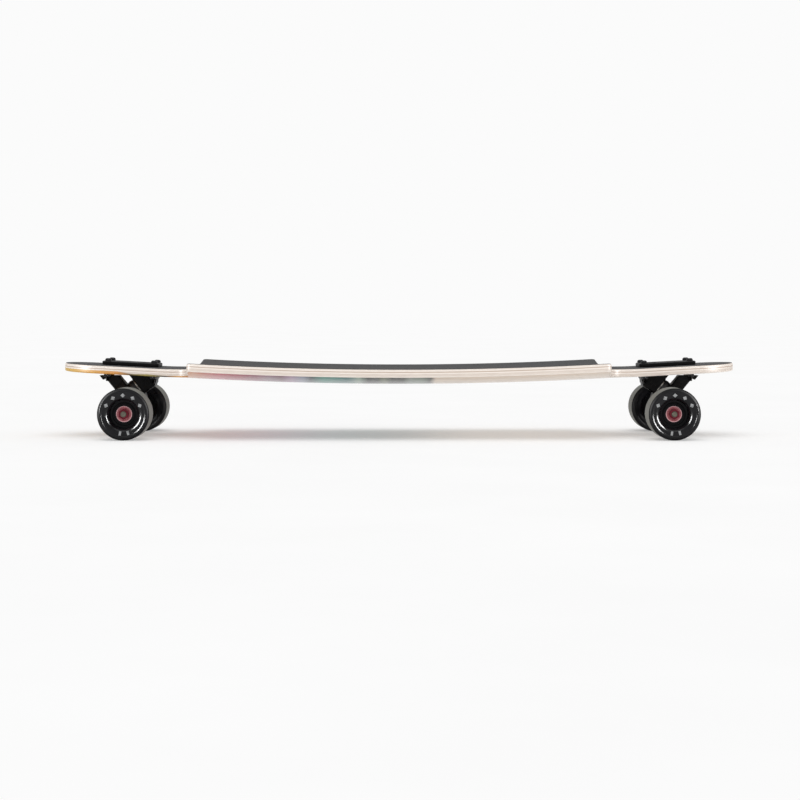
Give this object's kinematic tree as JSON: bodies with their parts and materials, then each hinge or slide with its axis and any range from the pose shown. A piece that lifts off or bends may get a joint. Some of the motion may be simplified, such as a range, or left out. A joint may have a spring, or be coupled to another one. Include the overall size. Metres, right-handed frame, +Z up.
{
  "type": "longboard skateboard",
  "caption": "Drop-through longboard: dished maple deck with wheel cutouts, grip tape, sprung reverse-kingpin trucks and urethane wheels on bearings.",
  "frame": {"origin": "on the ground, under the middle of the deck", "axes": "+X along the deck to the tail, -X to the nose, +Y to the rider's right when facing the nose, +Z up"},
  "size_m": [0.93, 0.256, 0.1079],
  "materials": {
    "maple": "satin lacquer over pressed plies, colour graphic under the nose half",
    "grip": "coarse black abrasive sheet",
    "cast": "black powder coat",
    "steel": "zinc plated",
    "black_steel": "black oxide",
    "bushing": "moulded urethane",
    "nylon": "moulded",
    "urethane": "cast urethane, glossy sides and matt tread",
    "core": "moulded",
    "bearing": "ground steel rings with a red shield"
  },
  "bodies": {
    "deck_and_trucks": {"deck": "maple", "grip_tape": "grip", "front_baseplate": "cast", "front_pivot_cup": "nylon", "front_kingpin": "steel", "front_kingpin_nut": "steel", "front_bushing_boardside": "bushing", "front_bushing_roadside": "bushing", "front_washer_boardside": "steel", "front_washer_roadside": "steel", "front_inner_left_bolt": "black_steel", "front_inner_left_bolt_nut": "black_steel", "front_inner_right_bolt": "black_steel", "front_inner_right_bolt_nut": "black_steel", "front_outer_left_bolt": "black_steel", "front_outer_left_bolt_nut": "black_steel", "front_outer_right_bolt": "black_steel", "front_outer_right_bolt_nut": "black_steel", "rear_baseplate": "cast", "rear_pivot_cup": "nylon", "rear_kingpin": "steel", "rear_kingpin_nut": "steel", "rear_bushing_boardside": "bushing", "rear_bushing_roadside": "bushing", "rear_washer_boardside": "steel", "rear_washer_roadside": "steel", "rear_inner_left_bolt": "black_steel", "rear_inner_left_bolt_nut": "black_steel", "rear_inner_right_bolt": "black_steel", "rear_inner_right_bolt_nut": "black_steel", "rear_outer_left_bolt": "black_steel", "rear_outer_left_bolt_nut": "black_steel", "rear_outer_right_bolt": "black_steel", "rear_outer_right_bolt_nut": "black_steel"},
    "front_hanger_body": {"front_hanger": "cast", "front_axle": "steel", "front_left_axle_nut": "black_steel", "front_right_axle_nut": "black_steel"},
    "front_left_wheel": {"front_left_tyre": "urethane", "front_left_core": "core", "front_left_bearing_outboard": "bearing", "front_left_bearing_inboard": "bearing"},
    "front_right_wheel": {"front_right_tyre": "urethane", "front_right_core": "core", "front_right_bearing_outboard": "bearing", "front_right_bearing_inboard": "bearing"},
    "rear_hanger_body": {"rear_hanger": "cast", "rear_axle": "steel", "rear_left_axle_nut": "black_steel", "rear_right_axle_nut": "black_steel"},
    "rear_left_wheel": {"rear_left_tyre": "urethane", "rear_left_core": "core", "rear_left_bearing_outboard": "bearing", "rear_left_bearing_inboard": "bearing"},
    "rear_right_wheel": {"rear_right_tyre": "urethane", "rear_right_core": "core", "rear_right_bearing_outboard": "bearing", "rear_right_bearing_inboard": "bearing"}
  },
  "joints": [
    {"name": "front_steer", "type": "hinge", "parent": "deck_and_trucks", "child": "front_hanger_body", "pos_m": [-0.379, 0, 0.057], "axis": [-0.6293, 0, 0.7771], "range_deg": [-18, 18], "stiffness_Nm_per_rad": 40, "deforming": ["front_bushing_boardside", "front_bushing_roadside"]},
    {"name": "front_left_wheel_spin", "type": "hinge", "parent": "front_hanger_body", "child": "front_left_wheel", "pos_m": [-0.369, -0.103, 0.035], "axis": [0, 1, 0], "continuous": true},
    {"name": "front_right_wheel_spin", "type": "hinge", "parent": "front_hanger_body", "child": "front_right_wheel", "pos_m": [-0.369, 0.103, 0.035], "axis": [0, 1, 0], "continuous": true},
    {"name": "rear_steer", "type": "hinge", "parent": "deck_and_trucks", "child": "rear_hanger_body", "pos_m": [0.379, 0, 0.057], "axis": [0.6293, 0, 0.7771], "range_deg": [-18, 18], "stiffness_Nm_per_rad": 40, "deforming": ["rear_bushing_boardside", "rear_bushing_roadside"]},
    {"name": "rear_left_wheel_spin", "type": "hinge", "parent": "rear_hanger_body", "child": "rear_left_wheel", "pos_m": [0.369, -0.103, 0.035], "axis": [0, 1, 0], "continuous": true},
    {"name": "rear_right_wheel_spin", "type": "hinge", "parent": "rear_hanger_body", "child": "rear_right_wheel", "pos_m": [0.369, 0.103, 0.035], "axis": [0, 1, 0], "continuous": true}
  ]
}
